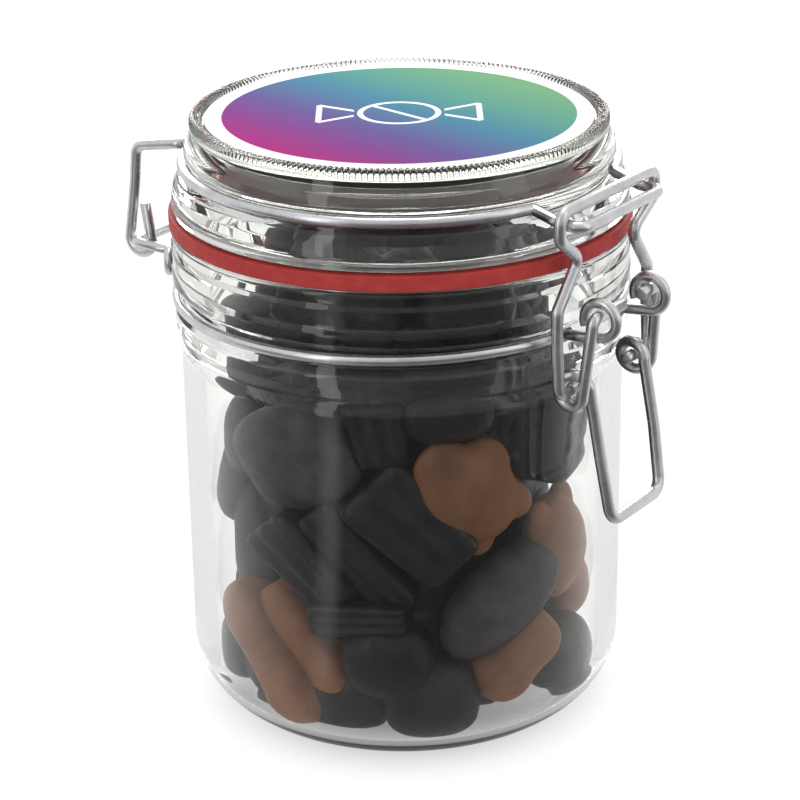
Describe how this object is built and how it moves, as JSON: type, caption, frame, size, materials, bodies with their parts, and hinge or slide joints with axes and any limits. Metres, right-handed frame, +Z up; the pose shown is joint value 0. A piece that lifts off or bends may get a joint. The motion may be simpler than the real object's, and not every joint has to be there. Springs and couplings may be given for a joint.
{
  "type": "clip_top_glass_jar_with_sweets",
  "caption": "Small clear glass storage jar with a clip-down glass lid on a red rubber ring, held by a wire lever closure, and filled with dark liquorice and brown fruit gums.",
  "frame": {"origin": "Middle of the foot, in the plane the jar stands on.", "axes": "+Z up along the jar's axis, -Y towards the lever closure, +Y towards the lid's hinge, +X to the right of the closure."},
  "size_m": [0.089, 0.1129, 0.12],
  "materials": {
    "clear_glass": "clear, very slightly green, fire polished",
    "red_rubber": "matt",
    "satin_steel": "drawn wire, satin",
    "printed_label": "printed sticker, semi-matt",
    "liquorice": "dull with a soft sheen, as of liquorice and fruit gums"
  },
  "bodies": {
    "vessel": {"jar": "clear_glass", "lid": "clear_glass", "rubber_ring": "red_rubber", "label": "printed_label", "neck_wire": "satin_steel", "lid_wire": "satin_steel", "candy_heap": "liquorice"},
    "lever_frame": {"lever": "satin_steel"},
    "bail_frame": {"bail": "satin_steel"}
  },
  "joints": [
    {"name": "lever_pivot", "type": "hinge", "parent": "vessel", "child": "lever_frame", "pos_m": [0, -0.0503, 0.0911], "axis": [-1, 0, 0], "range_deg": [0, 140]},
    {"name": "bail_pivot", "type": "hinge", "parent": "lever_frame", "child": "bail_frame", "pos_m": [0, -0.046, 0.0766], "axis": [-1, 0, 0], "range_deg": [-140, 0]}
  ],
  "couplings": [
    {"joint": "bail_pivot", "follows": "lever_pivot", "ratio": -1}
  ]
}
